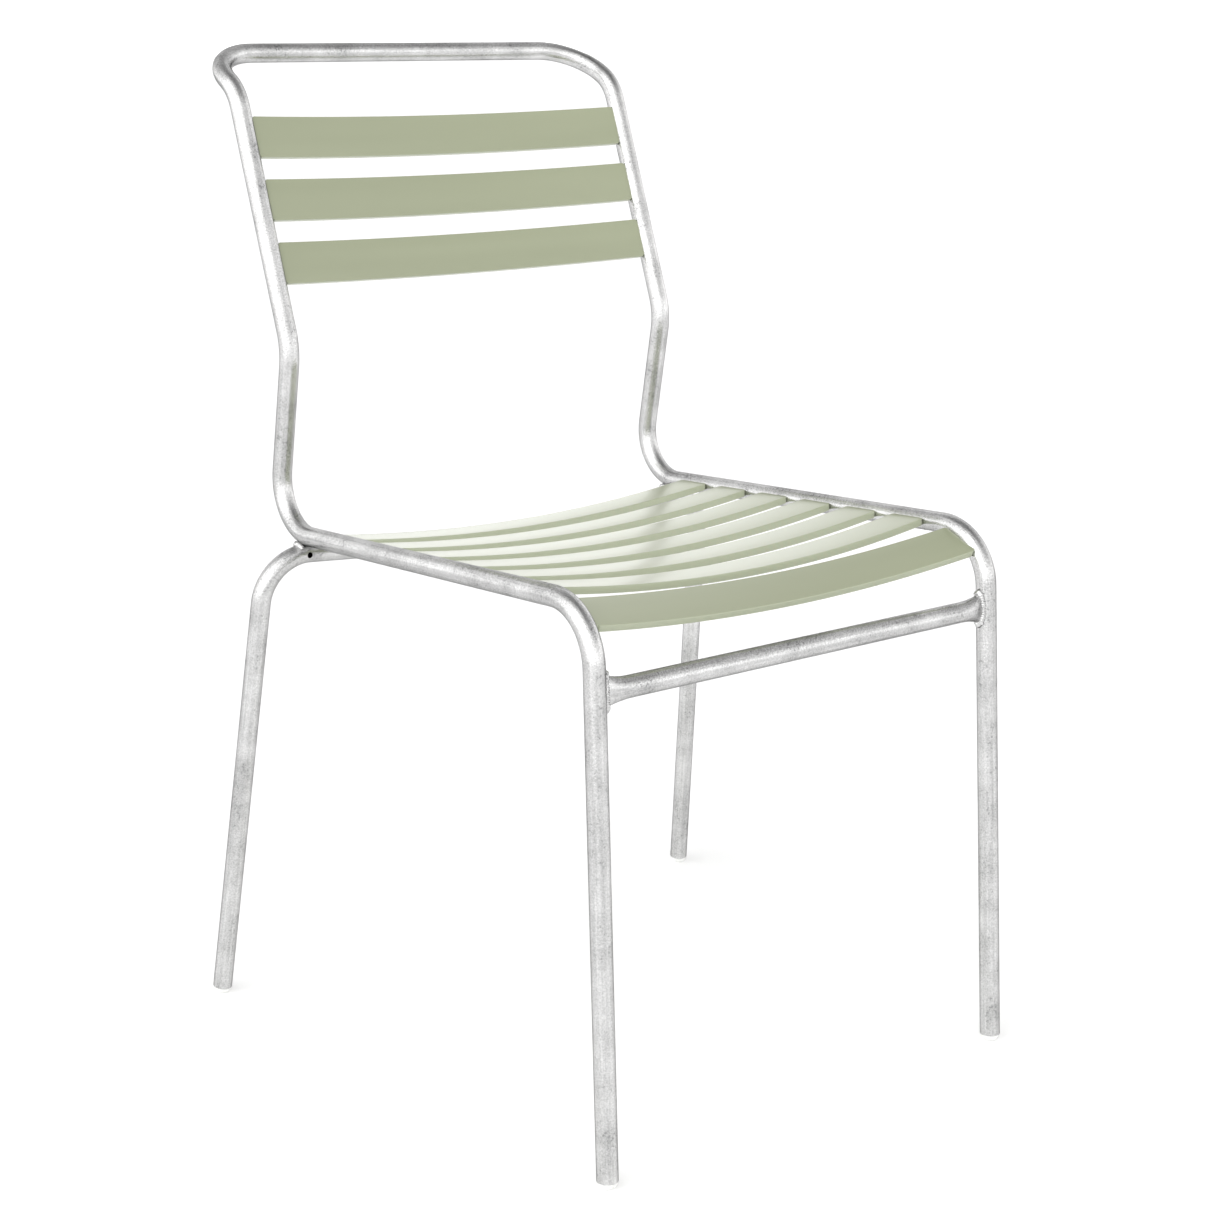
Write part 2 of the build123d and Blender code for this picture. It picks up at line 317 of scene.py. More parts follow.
glideSettings = {
    "clear": (0.86, 0.87, 0.85),
    "scuffed": (0.72, 0.72, 0.69),
    "scuff": (380.0, 4.0, 0.65),
    "scuffStops": (0.35, 0.75),    # where the clear and the scuffed colour stand in the noise
    "scuffRange": (0.3, 0.7),
    "smoothest": 0.22,
    "roughest": 0.5,
    "cloudiness": 0.35,
    "cloudColour": (1.0, 1.0, 0.95),
    "cloudDepth": 3.0,
    "bumpStrength": 0.2,
    "bumpHeight": 0.05,
}


def glideMaterial(settings):
    # cloudy translucent plastic, scuffed
    material, tree, shader = newMaterial("glidePlastic")
    place = addNode(tree, "ShaderNodeTexCoord").outputs["Object"]
    scuff = noise(tree, place, *settings["scuff"])
    clearStop, scuffedStop = settings["scuffStops"]
    colour = colourRamp(tree, scuff, [(clearStop, settings["clear"]), (scuffedStop, settings["scuffed"])])
    tree.links.new(colour, shader.inputs["Base Color"])
    dull = mapRange(tree, scuff, settings["scuffRange"], settings["smoothest"], settings["roughest"])
    tree.links.new(dull, shader.inputs["Roughness"])
    setNumbers(shader, {
        "Subsurface Weight": settings["cloudiness"],
        "Subsurface Radius": settings["cloudColour"],
        "Subsurface Scale": settings["cloudDepth"] * mm,
    })
    addBump(tree, shader, scuff, settings["bumpStrength"], settings["bumpHeight"])
    return material


tubeZinc = zincMaterial("tubeZinc", True, zincSettings)
weldZinc = zincMaterial("weldZinc", False, {
    **zincSettings,
    "darkZinc": (0.465, 0.465, 0.465),
    "brightZinc": (0.865, 0.865, 0.86),
    "streakStretch": 0.8,
    "bumpHeight": 0.12,
    "smoothest": 0.2,
})
slatPlastic = slatMaterial(slatSettings)
glidePlastic = glideMaterial(glideSettings)
print("materials made")


# what every grown piece shares

def newTree(name, sockets):
    tree = bpy.data.node_groups.new(name, "GeometryNodeTree")
    tree.interface.new_socket("Geometry", in_out="INPUT", socket_type="NodeSocketGeometry")
    for label, kind in sockets.items():
        tree.interface.new_socket(label, in_out="INPUT", socket_type="NodeSocket" + kind)
    tree.interface.new_socket("Geometry", in_out="OUTPUT", socket_type="NodeSocketGeometry")
    return tree, tree.nodes.new("NodeGroupInput").outputs


def endTree(tree, geometry, material):
    real = addNode(tree, "GeometryNodeRealizeInstances", {0: geometry})
    smooth = addNode(tree, "GeometryNodeSetShadeSmooth", {0: real.outputs[0]})
    painted = addNode(tree, "GeometryNodeSetMaterial", {0: smooth.outputs[0], "Material": material})
    tree.links.new(painted.outputs[0], tree.nodes.new("NodeGroupOutput").inputs[0])


def placeOf(tree):
    return addNode(tree, "GeometryNodeInputPosition").outputs[0]


def storeOn(tree, geometry, name, value, kind="FLOAT", domain="POINT"):
    return addNode(tree, "GeometryNodeStoreNamedAttribute", {
        "Geometry": geometry, "Name": name, "Value": value,
    }, data_type=kind, domain=domain).outputs[0]


def storedOn(tree, name, kind="FLOAT"):
    return addNode(tree, "GeometryNodeInputNamedAttribute", {"Name": name}, data_type=kind).outputs[0]


def measureRun(tree, line, name):
    return storeOn(tree, line, name, addNode(tree, "GeometryNodeSplineParameter").outputs["Length"])


def roundTube(tree, line, sides, diameter):
    # a round section carried along a line; the mesh keeps its place along and across the tube
    ring = addNode(tree, "GeometryNodeCurvePrimitiveCircle", {
        "Resolution": sides, "Radius": half(tree, diameter),
    }).outputs[0]
    return addNode(tree, "GeometryNodeCurveToMesh", {
        "Curve": measureRun(tree, line, "alongTube"),
        "Profile Curve": storeOn(tree, ring, "acrossTube", placeOf(tree), "FLOAT_VECTOR"),
        "Fill Caps": True,
    }).outputs[0]


def growPiece(name, tree, values, runs=(), numbers=None, sharpAngle=40):
    # runs are lists of points, each one joined up in turn; numbers are stored on their points
    points, edges = [], []
    for run in runs:
        edges += [(len(points) + i, len(points) + i + 1) for i in range(len(run) - 1)]
        points += run
    line = bpy.data.meshes.new(name + "Line")
    line.from_pydata(points, edges, [])
    for label, column in (numbers or {}).items():
        line.attributes.new(label, "FLOAT", "POINT").data.foreach_set("value", column)
    grower = bpy.data.objects.new(name + "Line", line)
    scene.collection.objects.link(grower)
    modifier = grower.modifiers.new("grow", "NODES")
    modifier.node_group = tree
    for item in tree.interface.items_tree:
        if item.in_out == "INPUT" and item.name in values:
            modifier[item.identifier] = values[item.name]
    graph = bpy.context.evaluated_depsgraph_get()
    mesh = bpy.data.meshes.new_from_object(
        grower.evaluated_get(graph), preserve_all_data_layers=True, depsgraph=graph
    )
    grower.modifiers.remove(modifier)
    bpy.data.objects.remove(grower)
    bpy.data.meshes.remove(line)

    shell = bmesh.new()
    shell.from_mesh(mesh)
    bmesh.ops.remove_doubles(shell, verts=shell.verts, dist=samePlace)
    bmesh.ops.recalc_face_normals(shell, faces=shell.faces)
    shell.to_mesh(mesh)
    shell.free()
    mesh.set_sharp_from_angle(angle=radians(sharpAngle))
    mesh.name = name
    piece = bpy.data.objects.new(name, mesh)
    scene.collection.objects.link(piece)
    return piece


def fitPiece(piece, slotName, *nodeNames):
    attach(piece, "root")
    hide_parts(*nodeNames)


# the bent tubes: a corner line, rounded at each bend, with a round section carried along it

tubeTree, tubeInput = newTree("bentTube", {
    "Tube Diameter": "Float", "Sides": "Int", "Bend Steps": "Int", "Vented": "Bool",
    "Vent Diameter": "Float", "Vent X": "Float", "Vent Y": "Float", "Vent Z": "Float",
    "Vent Dip": "Float", "Vent Shallowest": "Float", "Material": "Material",
})
cornerLine = addNode(tubeTree, "GeometryNodeMeshToCurve", {0: tubeInput["Geometry"]})
bentLine = addNode(tubeTree, "GeometryNodeFilletCurve", {
    "Curve": cornerLine.outputs[0],
    "Count": tubeInput["Bend Steps"],
    "Radius": storedOn(tubeTree, "bendRadius"),
}, mode="POLY")
tubeBody = roundTube(tubeTree, bentLine.outputs[0], tubeInput["Sides"], tubeInput["Tube Diameter"])

# two blind vent holes drilled from the front, one near each end of a cross run
drillSides = 32
drillLength = 1.5                  # in tube diameters; the drill's inner end stops at the centreline
ventDrill = addNode(tubeTree, "GeometryNodeMeshCylinder", {
    "Vertices": drillSides,
    "Radius": half(tubeTree, tubeInput["Vent Diameter"]),
    "Depth": maths(tubeTree, "MULTIPLY", tubeInput["Tube Diameter"], drillLength),
})
ventTurn = joinVector(tubeTree, maths(tubeTree, "SUBTRACT", pi / 2, tubeInput["Vent Dip"]))
ventDrills = addNode(tubeTree, "GeometryNodeJoinGeometry")
drillY = maths(
    tubeTree, "MULTIPLY_ADD", tubeInput["Tube Diameter"], -drillLength / 2, tubeInput["Vent Y"]
)
for side in (-1.0, 1.0):
    drillX = maths(tubeTree, "MULTIPLY", tubeInput["Vent X"], side)
    ventPlace = joinVector(tubeTree, drillX, drillY, tubeInput["Vent Z"])
    placedDrill = addNode(tubeTree, "GeometryNodeTransform", {
        "Geometry": ventDrill.outputs[0], "Translation": ventPlace, "Rotation": ventTurn,
    })
    tubeTree.links.new(placedDrill.outputs[0], ventDrills.inputs[0])
drilled = addNode(tubeTree, "GeometryNodeMeshBoolean", {
    "Mesh 1": tubeBody, "Mesh 2": ventDrills.outputs[0],
}, operation="DIFFERENCE", solver="EXACT").outputs[0]
for label, kind in (("alongTube", "FLOAT"), ("acrossTube", "FLOAT_VECTOR")):
    # the drilled edges take their texture place from the plain tube
    nearest = addNode(tubeTree, "GeometryNodeSampleNearestSurface", {
        "Mesh": tubeBody, "Value": storedOn(tubeTree, label, kind),
    }, data_type=kind)
    drilled = storeOn(tubeTree, drilled, label, nearest.outputs[0], kind)
# faces deeper than the tube's skin are the hole's inside, marked for the zinc shader's painted shade
belowSkin = addNode(
    tubeTree, "GeometryNodeProximity", {0: tubeBody}, target_element="FACES"
).outputs["Distance"]
isVent = maths(tubeTree, "GREATER_THAN", belowSkin, tubeInput["Vent Shallowest"])
drilled = storeOn(tubeTree, drilled, "inVent", isVent, domain="FACE")
finishedTube = addNode(tubeTree, "GeometryNodeSwitch", {
    "Switch": tubeInput["Vented"], "False": tubeBody, "True": drilled,
}, input_type="GEOMETRY")
endTree(tubeTree, finishedTube.outputs[0], tubeInput["Material"])


def bentTube(name, corners, bends, settings, ventPlace=None):
    # corners run from the right foot to the chair's middle, each with its bend's radius
    rightHalf = [(*corner, bend) for corner, bend in zip(corners, bends)]
    middle = 1 if corners[-1][0] == 0 else 0
    whole = [(-x, y, z, bend) for x, y, z, bend in rightHalf] + rightHalf[::-1][middle:]
    ventX, ventY, ventZ = ventPlace or (0.0, 0.0, 0.0)
    points = [(x * mm, y * mm, z * mm) for x, y, z, bend in whole]
    return growPiece(name, tubeTree, {
        "Tube Diameter": tubeDiameter * mm,
        "Sides": settings["sides"],
        "Bend Steps": settings["bendSteps"],
        "Vented": ventPlace is not None,
        "Vent Diameter": settings.get("ventDiameter", 0.0) * mm,
        "Vent X": ventX * mm,
        "Vent Y": ventY * mm,
        "Vent Z": ventZ * mm,
        "Vent Dip": radians(settings.get("ventDip", 0.0)),
        "Vent Shallowest": settings.get("ventShallowest", 0.0) * mm,
        "Material": tubeZinc,
    }, [points], {"bendRadius": [bend * mm for x, y, z, bend in whole]})


mainFrameSettings = {
    "sides": 56,
    "bendSteps": 22,
    "lumbarRadius": 62.0,
    "backwardRadius": 42.0,
    "topCornerRadius": 47.5,
}


def mainFrame(settings):
    backwardBend = backPoint(chairSizes["backLength"])
    top = sidePoint(backwardBend, chairSizes["topReach"], pi / 2 - topLean)
    upper = [(seatHalfWidth, *corner) for corner in (knee, seatBack, lumbar, backwardBend, top)]
    radii = [settings[label] for label in ("lumbarRadius", "backwardRadius", "topCornerRadius")]
    bends = [0.0, chairSizes["kneeRadius"], chairSizes["seatBackRadius"], *radii]
    return bentTube("mainFrameTube", [legPoint(chairSizes["footHeight"]), *upper], bends, settings)


fitPiece(mainFrame(mainFrameSettings), "galvanised_steel", "main_frame_tube")

rearLoopSettings = {
    "sides": 56,
    "bendSteps": 26,
    "footHalfWidth": 272.3,
    "footReach": 62.1,             # the rear feet stand this far behind the cross run
    "kneeHalfWidth": 245.0,
    "kneeRadius": 43.5,
    "middleRadius": 400.0,
    "droop": 4.3,                  # slope of the cross run, down to its middle
    "contactAngle": 12.0,          # where round the bend at the seat's back the cross run lies against it
    "weldGap": 0.1,
    "ventDiameter": 5.2,
    "ventInset": 0.8,              # from the rail's centreline, inwards
    "ventDip": 8.0,
    "ventShallowest": 0.2,         # faces deeper in the tube than this are the hole's
}


def loopContact(settings):
    # where the cross run passes under the seat rail, a little into its own bend to the rear leg
    lumbarWay = atan2(chairSizes["lumbarHeight"], -chairSizes["lumbarReach"])
    centre = bendCentre(seatBack, chairSizes["seatBackRadius"], lumbarWay, pi - railSlope)
    pastStart = max(seatHalfWidth - settings["kneeHalfWidth"] + settings["kneeRadius"], 0.0)
    dip = pastStart ** 2 / (2 * settings["kneeRadius"])
    apart = (tubeDiameter + settings["weldGap"]) / cos(radians(settings["droop"])) - dip
    angle = radians(settings["contactAngle"]) - pi / 2 - railSlope
    return sidePoint(centre, chairSizes["seatBackRadius"] + apart, angle)


def crossRunPoint(x):
    y, z = loopContact(rearLoopSettings)
    return x, y, z + (x - seatHalfWidth) * tan(radians(rearLoopSettings["droop"]))


def rearLoop(settings):
    kneeX, kneeY, kneeZ = crossRunPoint(settings["kneeHalfWidth"])
    footShare = 1 - chairSizes["footHeight"] / kneeZ
    footX = kneeX + (settings["footHalfWidth"] - kneeX) * footShare
    foot = (footX, kneeY + settings["footReach"] * footShare, chairSizes["footHeight"])
    corners = [foot, (kneeX, kneeY, kneeZ), crossRunPoint(0.0)]
    bends = [0.0, settings["kneeRadius"], settings["middleRadius"]]
    ventPlace = crossRunPoint(seatHalfWidth - settings["ventInset"])
    return bentTube("rearLegLoop", corners, bends, settings, ventPlace)


fitPiece(rearLoop(rearLoopSettings), "galvanised_steel", "rear_leg_loop")
print("bent tubes made")


# the crossbar: a round tube whose ends are pressed flat where they meet the legs

crossbarSettings = {
    "height": 385.0,
    "halfLength": 201.5,
    "flatStart": 198.5,
    "pressingLength": 24.0,
    "pressingCurve": 2.0,          # 1 is a straight flare, more starts it more gently
    "flatHeight": 25.0,
    "flatThickness": 7.0,
    "rings": 181,
    "sides": 56,
}
crossbarTree, barInput = newTree("pressedBar", {
    "Half Length": "Float", "Diameter": "Float", "Flat Start": "Float", "Pressing Length": "Float",
    "Pressing Curve": "Float", "Flat Height": "Float", "Flat Thickness": "Float", "Middle": "Vector",
    "Lean": "Float", "Rings": "Int", "Sides": "Int", "Material": "Material",
})
barLine = addNode(crossbarTree, "GeometryNodeCurvePrimitiveLine", {
    "Start": joinVector(crossbarTree, maths(crossbarTree, "MULTIPLY", barInput["Half Length"], -1.0)),
    "End": joinVector(crossbarTree, barInput["Half Length"]),
})
barSteps = addNode(crossbarTree, "GeometryNodeResampleCurve", {
    "Curve": barLine.outputs[0], "Count": barInput["Rings"],
})
barBody = roundTube(crossbarTree, barSteps.outputs[0], barInput["Sides"], barInput["Diameter"])
barX = splitVector(crossbarTree, placeOf(crossbarTree))[0]
ringX, ringY = splitVector(crossbarTree, storedOn(crossbarTree, "acrossTube", "FLOAT_VECTOR"))[:2]
pressingStart = maths(crossbarTree, "SUBTRACT", barInput["Flat Start"], barInput["Pressing Length"])
pressingRange = (pressingStart, barInput["Flat Start"])
pressed = maths(
    crossbarTree, "POWER",
    mapRange(crossbarTree, maths(crossbarTree, "ABSOLUTE", barX), pressingRange, 0.0, 1.0),
    barInput["Pressing Curve"],
)
taller, thinner = (
    mapRange(
        crossbarTree, pressed, (0.0, 1.0), 1.0,
        maths(crossbarTree, "DIVIDE", barInput[measure], barInput["Diameter"]),
    )
    for measure in ("Flat Height", "Flat Thickness")
)
pressedPlace = joinVector(
    crossbarTree, barX,
    maths(crossbarTree, "MULTIPLY", ringY, thinner),
    maths(crossbarTree, "MULTIPLY", ringX, taller),
)
pressedBar = addNode(crossbarTree, "GeometryNodeSetPosition", {"Geometry": barBody, "Position": pressedPlace})
placedBar = addNode(crossbarTree, "GeometryNodeTransform", {
    "Geometry": pressedBar.outputs[0],
    "Translation": barInput["Middle"],
    "Rotation": joinVector(crossbarTree, maths(crossbarTree, "MULTIPLY", barInput["Lean"], -1.0)),
})
endTree(crossbarTree, placedBar.outputs[0], barInput["Material"])

legAxis, barPlaceY, barPlaceZ = legPoint(crossbarSettings["height"])
frontCrossbar = growPiece("frontCrossbar", crossbarTree, {
    "Half Length": crossbarSettings["halfLength"] * mm,
    "Diameter": tubeDiameter * mm,
    "Flat Start": crossbarSettings["flatStart"] * mm,
    "Pressing Length": crossbarSettings["pressingLength"] * mm,
    "Pressing Curve": crossbarSettings["pressingCurve"],
    "Flat Height": crossbarSettings["flatHeight"] * mm,
    "Flat Thickness": crossbarSettings["flatThickness"] * mm,
    "Middle": (0.0, barPlaceY * mm, barPlaceZ * mm),
    "Lean": legSlope,
    "Rings": crossbarSettings["rings"],
    "Sides": crossbarSettings["sides"],
    "Material": tubeZinc,
})
fitPiece(frontCrossbar, "galvanised_steel", "front_crossbar")
print("crossbar made")


# the slats: a rounded strip, bowed, with clipped shoulders and a tongue at each end

slatShape = {
    "width": 37.0,
    "thickness": 6.0,
    "edgeRadius": 0.8,
    "edgeSteps": 6,
    "cornerRadius": 1.5,
    "shoulderClearance": 0.3,      # from the shoulder to the tube
    "tongueWidth": 33.0,
    "tongueReach": 8.3,
    "rings": 241,
    "stripShare": 0.66,            # this part of the rings covers the strip, the rest its corners and tongues
}
seatRowSettings = {
    "count": 6,                    # the flat seat slats, from the rearmost on
    "pitch": 57.0,
    "frontmost": 82.0,             # the last of them lies this far behind the knee's corner
    "bows": (13.0, 15.5),          # of the rearmost and the last
    "kneeAngle": 33.0,             # one more slat lies this far forward of the top of the knees' bend
    "kneeSlope": 23.0,
    "kneeBow": 13.6,
}
backRowSettings = {"count": 3, "pitch": 56.6, "lowest": 75.5, "bow": 11.0}

slatTree, slatInput = newTree("bowedSlat", {
    "Half Span": "Float", "Shoulder": "Float", "Tongue Reach": "Float", "Width": "Float",
    "Tongue Width": "Float", "Thickness": "Float", "Edge Radius": "Float", "Edge Steps": "Int",
    "Corner Radius": "Float", "Bow": "Float", "Rings": "Int", "Strip Share": "Float",
    "Middle": "Vector", "Slope": "Float", "Material": "Material",
})
slatLine = addNode(slatTree, "GeometryNodeCurvePrimitiveLine", {
    "Start": (-1.0, 0.0, 0.0), "End": (1.0, 0.0, 0.0),
})
slatSteps = addNode(slatTree, "GeometryNodeResampleCurve", {
    "Curve": slatLine.outputs[0], "Count": slatInput["Rings"],
})
step = splitVector(slatTree, placeOf(slatTree))[0]
stepSize = maths(slatTree, "ABSOLUTE", step)
cornerStart = maths(slatTree, "SUBTRACT", slatInput["Shoulder"], slatInput["Corner Radius"])
tip = maths(slatTree, "ADD", slatInput["Shoulder"], slatInput["Tongue Reach"])
alongStrip = mapRange(slatTree, stepSize, (0.0, slatInput["Strip Share"]), 0.0, cornerStart)
pastStrip = maths(slatTree, "SUBTRACT", tip, cornerStart)
alongTip = mapRange(slatTree, stepSize, (slatInput["Strip Share"], 1.0), 0.0, pastStrip)
distanceOut = maths(slatTree, "ADD", alongStrip, alongTip)
reach = maths(slatTree, "MULTIPLY", maths(slatTree, "SIGN", step), distanceOut)

# the bow is an arc with the radius (half span squared + bow squared) / (2 bow)
bowSquares = maths(
    slatTree, "ADD", squared(slatTree, slatInput["Half Span"]), squared(slatTree, slatInput["Bow"])
)
bowRadius = maths(slatTree, "DIVIDE", bowSquares, maths(slatTree, "MULTIPLY", slatInput["Bow"], 2.0))
bowDepth = maths(slatTree, "SQRT", maths(
    slatTree, "SUBTRACT", squared(slatTree, bowRadius), squared(slatTree, reach)
))
bowCentre = maths(slatTree, "SUBTRACT", bowRadius, slatInput["Bow"])
bowLine = addNode(slatTree, "GeometryNodeSetPosition", {
    "Geometry": slatSteps.outputs[0],
    "Position": joinVector(slatTree, reach, 0.0, maths(slatTree, "SUBTRACT", bowCentre, bowDepth)),
})
stripOutline = addNode(slatTree, "GeometryNodeCurvePrimitiveQuadrilateral", {
    "Width": slatInput["Width"], "Height": slatInput["Thickness"],
})
stripSection = addNode(slatTree, "GeometryNodeFilletCurve", {
    "Curve": stripOutline.outputs[0], "Count": slatInput["Edge Steps"], "Radius": slatInput["Edge Radius"],
}, mode="POLY")
strip = addNode(slatTree, "GeometryNodeCurveToMesh", {
    "Curve": bowLine.outputs[0], "Profile Curve": stripSection.outputs[0], "Fill Caps": True,
})

# the width falls round the shoulders' corners to that of the tongues
stripX, stripY, stripZ = splitVector(slatTree, placeOf(slatTree))
halfWidth = half(slatTree, slatInput["Width"])
outwards = maths(slatTree, "ABSOLUTE", stripX)
pastCorner = maths(slatTree, "MAXIMUM", maths(slatTree, "SUBTRACT", outwards, cornerStart), 0.0)
cornerLeft = maths(
    slatTree, "SUBTRACT", squared(slatTree, slatInput["Corner Radius"]), squared(slatTree, pastCorner)
)
cornerFall = maths(slatTree, "SQRT", maths(slatTree, "MAXIMUM", cornerLeft, 0.0))
cornerMiddle = maths(slatTree, "SUBTRACT", halfWidth, slatInput["Corner Radius"])
cornerWidth = maths(slatTree, "ADD", cornerMiddle, cornerFall)
clippedWidth = maths(slatTree, "MAXIMUM", half(slatTree, slatInput["Tongue Width"]), cornerWidth)
narrowed = maths(slatTree, "MULTIPLY", stripY, maths(slatTree, "DIVIDE", clippedWidth, halfWidth))
# 1 on the long sides and 0 on the faces, for the painted light on the rounded edges
sideRange = (maths(slatTree, "SUBTRACT", halfWidth, slatInput["Edge Radius"]), halfWidth)
onSide = mapRange(slatTree, maths(slatTree, "ABSOLUTE", stripY), sideRange, 0.0, 1.0)
shouldered = addNode(slatTree, "GeometryNodeSetPosition", {
    "Geometry": storeOn(slatTree, strip.outputs[0], "onEdge", onSide),
    "Position": joinVector(slatTree, stripX, narrowed, stripZ),
})
placedSlat = addNode(slatTree, "GeometryNodeTransform", {
    "Geometry": shouldered.outputs[0],
    "Translation": slatInput["Middle"],
    "Rotation": joinVector(slatTree, slatInput["Slope"]),
})
endTree(slatTree, placedSlat.outputs[0], slatInput["Material"])


def layRow(row, places):
    # places are y, z, the slope across the slat in radians, and the bow
    halfSpan = seatHalfWidth - tubeDiameter / 2
    for count, (y, z, slope, bow) in enumerate(places, 1):
        slat = growPiece(f"{row}Slat{count}", slatTree, {
            "Half Span": halfSpan * mm,
            "Shoulder": (halfSpan - slatShape["shoulderClearance"]) * mm,
            "Tongue Reach": slatShape["tongueReach"] * mm,
            "Width": slatShape["width"] * mm,
            "Tongue Width": slatShape["tongueWidth"] * mm,
            "Thickness": slatShape["thickness"] * mm,
            "Edge Radius": slatShape["edgeRadius"] * mm,
            "Edge Steps": slatShape["edgeSteps"],
            "Corner Radius": slatShape["cornerRadius"] * mm,
            "Bow": bow * mm,
            "Rings": slatShape["rings"],
            "Strip Share": slatShape["stripShare"],
            "Middle": (0.0, y * mm, z * mm),
            "Slope": slope,
            "Material": slatPlastic,
        })
        fitPiece(slat, "slat_plastic", f"{row}_slat_{count}")


def seatRow(settings):
    places = []
    rearBow, lastBow = settings["bows"]
    last = settings["count"] - 1
    for index in range(settings["count"]):
        distance = settings["frontmost"] + (last - index) * settings["pitch"]
        places.append((*railPoint(distance), -railSlope, rearBow + (lastBow - rearBow) * index / last))
    # the slat over the knees cuts across their bend, about as a chord
    kneeRadius = chairSizes["kneeRadius"]
    centre = bendCentre(knee, kneeRadius, -pi / 2 - legSlope, -railSlope)
    inset = sqrt(kneeRadius ** 2 - (slatShape["width"] / 2) ** 2)
    kneeSlat = sidePoint(centre, inset, pi / 2 + radians(settings["kneeAngle"]))
    places.append((*kneeSlat, radians(settings["kneeSlope"]), settings["kneeBow"]))
    return places


def backRow(settings):
    distances = [settings["lowest"] + index * settings["pitch"] for index in range(settings["count"])]
    return [(*backPoint(distance), pi / 2 - backLean, settings["bow"]) for distance in distances]


layRow("seat", seatRow(seatRowSettings))
layRow("back", backRow(backRowSettings))
print("slats made")


# weld beads: a lumpy, rippled rope laid along each seam

weldSettings = {
    "ringSides": 22,
    "stepLength": 0.45,
    "ripplePitch": 1.9,
    "rippleHeight": 0.32,
    "lumpSize": 3.2,
    "lumpHeight": 2.6,
    "crossbarBead": 2.8,           # radius of the bead round the crossbar's ends
    "crossbarSide": 0.8,           # its scale at the flattened end's sides
    "crossbarSwell": 0.75,         # and this much more at its top and bottom
    "crossbarSwellPower": 6,       # the higher, the shorter the swollen stretches
    "crossbarSteps": 72,
    "seamOffset": 0.3,             # from the flattened end's top and bottom inwards, from its sides outwards
    "crossbarSeed": 3.0,
    "rearBead": 2.6,
    "rearOffset": 6.0,             # the rear beads lie this far to each side of the rail's centreline
    "rearDrops": (0.5, 1.05),      # and the inner and the outer one this much lower than the cross run
    "rearLift": 0.7,               # above the loop's surface
    "rearWrap": 48.0,              # each bead reaches this far round the loop, to the front and to the back
    "rearSteps": 12,               # to each side of the bead's middle
    "rearTip": 0.08,               # scale of the bead's ends
    "rearTaper": 2.5,              # the higher, the blunter those ends
    "rearSeed": 8.0,
}
beadTree, beadInput = newTree("weldBead", {
    "Bead Radius": "Float", "Ring Sides": "Int", "Step Length": "Float", "Ripple Pitch": "Float",
    "Ripple Height": "Float", "Lump Size": "Float", "Lump Height": "Float", "Seed": "Float",
    "Material": "Material",
})
seamLine = addNode(beadTree, "GeometryNodeMeshToCurve", {0: beadInput["Geometry"]})
seamSteps = addNode(beadTree, "GeometryNodeResampleCurve", {
    "Curve": seamLine.outputs[0], "Length": beadInput["Step Length"],
}, mode="LENGTH")
beadRing = addNode(beadTree, "GeometryNodeCurvePrimitiveCircle", {
    "Resolution": beadInput["Ring Sides"], "Radius": beadInput["Bead Radius"],
})
beadBody = addNode(beadTree, "GeometryNodeCurveToMesh", {
    "Curve": measureRun(beadTree, seamSteps.outputs[0], "alongSeam"),
    "Profile Curve": beadRing.outputs[0],
    "Fill Caps": True,
    "Scale": storedOn(beadTree, "beadScale"),
})
lump = addNode(beadTree, "ShaderNodeTexNoise", {
    "W": beadInput["Seed"], "Scale": maths(beadTree, "DIVIDE", 1.0, beadInput["Lump Size"]),
}, noise_dimensions="4D").outputs["Fac"]
lump = maths(beadTree, "SUBTRACT", lump, 0.5)  # the noise's middle neither raises nor lowers the bead
ripples = maths(beadTree, "DIVIDE", storedOn(beadTree, "alongSeam"), beadInput["Ripple Pitch"])
ripple = maths(beadTree, "SINE", maths(beadTree, "MULTIPLY", ripples, 2 * pi))
swell = maths(
    beadTree, "MULTIPLY_ADD", lump, beadInput["Lump Height"],
    maths(beadTree, "MULTIPLY", ripple, beadInput["Ripple Height"]),
)
swollen = addNode(beadTree, "ShaderNodeVectorMath", {
    0: addNode(beadTree, "GeometryNodeInputNormal").outputs[0], 3: swell,
}, operation="SCALE")
lumpyBead = addNode(beadTree, "GeometryNodeSetPosition", {
    "Geometry": beadBody.outputs[0], "Offset": swollen.outputs[0],
})
endTree(beadTree, lumpyBead.outputs[0], beadInput["Material"])


def layBead(name, radius, runs, scales, seed, nodeName):
    bead = growPiece(name, beadTree, {
        "Bead Radius": radius * mm,
        "Ring Sides": weldSettings["ringSides"],
        "Step Length": weldSettings["stepLength"] * mm,
        "Ripple Pitch": weldSettings["ripplePitch"] * mm,
        "Ripple Height": weldSettings["rippleHeight"] * mm,
        "Lump Size": weldSettings["lumpSize"] * mm,
        "Lump Height": weldSettings["lumpHeight"] * mm,
        "Seed": seed,
        "Material": weldZinc,
    }, runs, {"beadScale": scales}, sharpAngle=180)
    fitPiece(bead, "weld_metal", nodeName)


def crossbarSeam(side):
    # the line where the flattened end's oval meets the leg, once round, and the bead's scale there
    steps = weldSettings["crossbarSteps"]
    halfHeight = crossbarSettings["flatHeight"] / 2 - weldSettings["seamOffset"]
    halfThickness = crossbarSettings["flatThickness"] / 2 + weldSettings["seamOffset"]
    run, scales = [], []
    for count in range(steps + 1):
        angle = 2 * pi * count / steps
        rise = halfHeight * sin(angle)
        depth = halfThickness * cos(angle)
        x = legAxis - sqrt((tubeDiameter / 2) ** 2 - depth ** 2)
        y = barPlaceY + rise * sin(legSlope) + depth * cos(legSlope)
        z = barPlaceZ + rise * cos(legSlope) - depth * sin(legSlope)
        run.append((side * x * mm, y * mm, z * mm))
        swollenShare = abs(sin(angle)) ** weldSettings["crossbarSwellPower"]
        scales.append(weldSettings["crossbarSide"] + weldSettings["crossbarSwell"] * swollenShare)
    return run, scales


